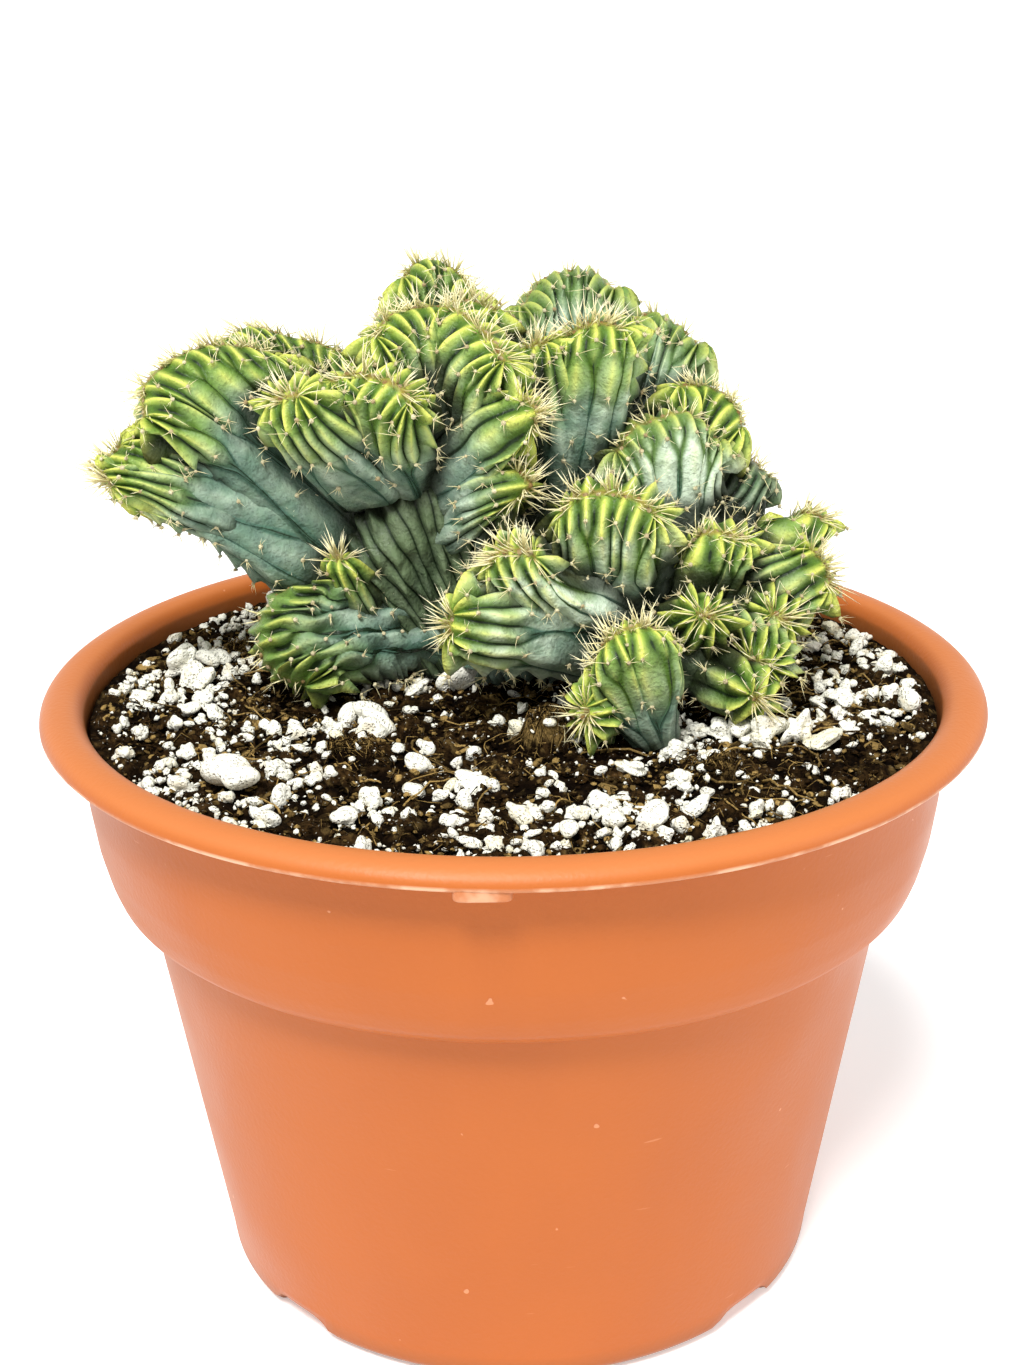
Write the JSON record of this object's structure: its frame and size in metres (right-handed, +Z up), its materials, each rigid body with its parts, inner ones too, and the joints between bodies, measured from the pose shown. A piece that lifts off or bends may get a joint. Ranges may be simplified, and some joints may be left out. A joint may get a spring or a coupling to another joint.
{
  "type": "potted crested blue myrtle cactus",
  "caption": "Fan-crested, many-headed ribbed cactus with tufts of pale spines, standing in peat and perlite in a tapered plastic pot with a rolled rim and a stepped collar.",
  "frame": {"origin": "on the ground, under the middle of the pot", "axes": "+Z up, +X to the right and +Y away from the viewer as the plant is seen from its best side"},
  "size_m": [0.21, 0.21, 0.2288],
  "materials": {
    "pot": "terracotta-orange matte polypropylene with a soft sheen, faint mould marks and small scuffs",
    "soil": "crumbly dark brown peat with fibres and bark bits",
    "perlite": "white porous grains with a rough chalky surface",
    "cactus": "waxy yellow-green to glaucous blue-green skin with pale bloom",
    "spine": "cream to straw-coloured satin needles",
    "areole": "short brown-cream felt"
  },
  "bodies": {
    "root": {"pot": "pot", "soil": "soil", "cactus": "cactus"}
  },
  "joints": []
}
